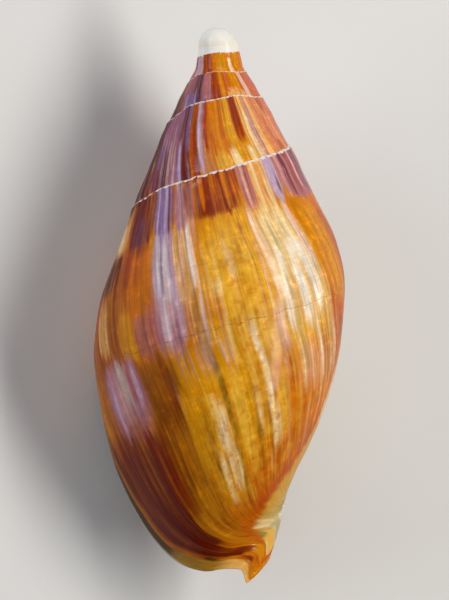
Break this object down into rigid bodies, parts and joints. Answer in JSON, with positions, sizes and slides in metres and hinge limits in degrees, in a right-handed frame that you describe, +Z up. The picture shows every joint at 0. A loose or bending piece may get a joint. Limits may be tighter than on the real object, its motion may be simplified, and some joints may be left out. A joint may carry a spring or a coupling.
{
  "type": "volute shell",
  "caption": "Right-handed spindle-shaped volute seashell with a white domed apex and a long open aperture, lying aperture down.",
  "frame": {"origin": "on the surface that the shell lies on, under the middle of its bounding box", "axes": "+Z up, away from the surface; +Y towards the apex, along the shell's length; +X to the right of the back as the apex points away"},
  "size_m": [0.054, 0.1204, 0.048],
  "materials": {
    "shell": "glossy"
  },
  "bodies": {
    "root": {"volute_shell": "shell"}
  },
  "joints": []
}
